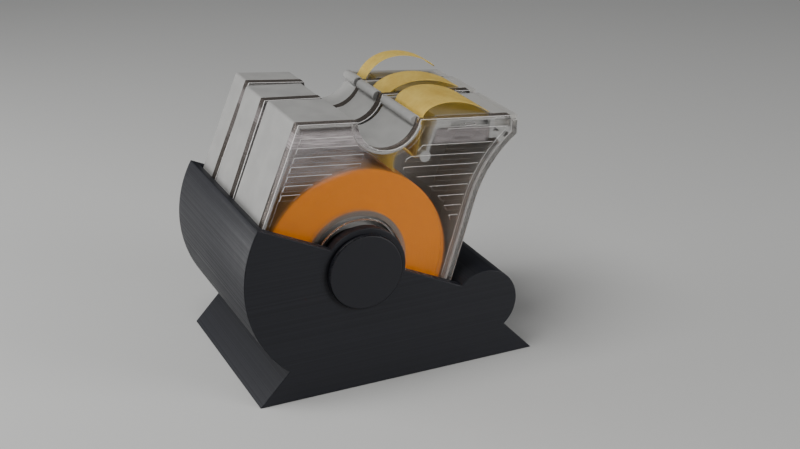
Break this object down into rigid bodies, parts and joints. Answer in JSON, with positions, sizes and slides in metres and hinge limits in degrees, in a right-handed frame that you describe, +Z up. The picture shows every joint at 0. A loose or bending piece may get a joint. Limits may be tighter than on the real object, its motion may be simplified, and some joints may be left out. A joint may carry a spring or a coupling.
{
  "type": "masking tape dispenser",
  "caption": "Cradle with a round nose bar and a pull-out axle pin that carries tilting clear-fronted cassettes of masking tape, each with a finger notch and a toothed cutter.",
  "frame": {"origin": "middle of the cradle's footprint, on the surface that it stands on", "axes": "+X from the curved back to the nose bar and the cutters, +Y from the pin's head to the far plate, +Z up"},
  "size_m": [0.0894, 0.0615, 0.0814],
  "materials": {
    "cradle_plastic": "matte printed, fine layer lines",
    "pin_plastic": "matte printed, fine layer lines",
    "case_plastic": "semi-gloss moulded",
    "clear_plastic": "clear, gloss, ribbed",
    "cutter_plastic": "smooth",
    "core_board": "plain",
    "masking_tape_roll": "wound edges, saturated",
    "masking_tape": "creped, matte"
  },
  "bodies": {
    "cradle": {"cradle": "cradle_plastic"},
    "axle_pin": {"axle_pin": "pin_plastic"},
    "wide_cassette": {"wide_case": "case_plastic", "wide_cover": "clear_plastic", "wide_cutter": "cutter_plastic", "wide_tape_strip": "masking_tape"},
    "wide_roll": {"wide_core": "core_board", "wide_tape_roll": "masking_tape_roll"},
    "medium_cassette": {"medium_case": "case_plastic", "medium_cover": "clear_plastic", "medium_cutter": "cutter_plastic", "medium_tape_strip": "masking_tape"},
    "medium_roll": {"medium_core": "core_board", "medium_tape_roll": "masking_tape_roll"},
    "narrow_cassette": {"narrow_case": "case_plastic", "narrow_cover": "clear_plastic", "narrow_cutter": "cutter_plastic", "narrow_tape_strip": "masking_tape"},
    "narrow_roll": {"narrow_core": "core_board", "narrow_tape_roll": "masking_tape_roll"}
  },
  "joints": [
    {"name": "pin_pull", "type": "slide", "parent": "cradle", "child": "axle_pin", "axis": [0, -1, 0], "range_m": [0, 0.0625]},
    {"name": "wide_tilt", "type": "hinge", "parent": "cradle", "child": "wide_cassette", "pos_m": [-0.01097, 0, 0.036], "axis": [0, -1, 0], "range_deg": [-21.9, 2.9]},
    {"name": "wide_roll_turn", "type": "hinge", "parent": "wide_cassette", "child": "wide_roll", "pos_m": [-0.01097, 0, 0.036], "axis": [0, -1, 0], "continuous": true},
    {"name": "medium_tilt", "type": "hinge", "parent": "cradle", "child": "medium_cassette", "pos_m": [-0.01097, 0, 0.036], "axis": [0, -1, 0], "range_deg": [-22.6, 2.2]},
    {"name": "medium_roll_turn", "type": "hinge", "parent": "medium_cassette", "child": "medium_roll", "pos_m": [-0.01097, 0, 0.036], "axis": [0, -1, 0], "continuous": true},
    {"name": "narrow_tilt", "type": "hinge", "parent": "cradle", "child": "narrow_cassette", "pos_m": [-0.01097, 0, 0.036], "axis": [0, -1, 0], "range_deg": [-21.2, 3.7]},
    {"name": "narrow_roll_turn", "type": "hinge", "parent": "narrow_cassette", "child": "narrow_roll", "pos_m": [-0.01097, 0, 0.036], "axis": [0, -1, 0], "continuous": true}
  ]
}
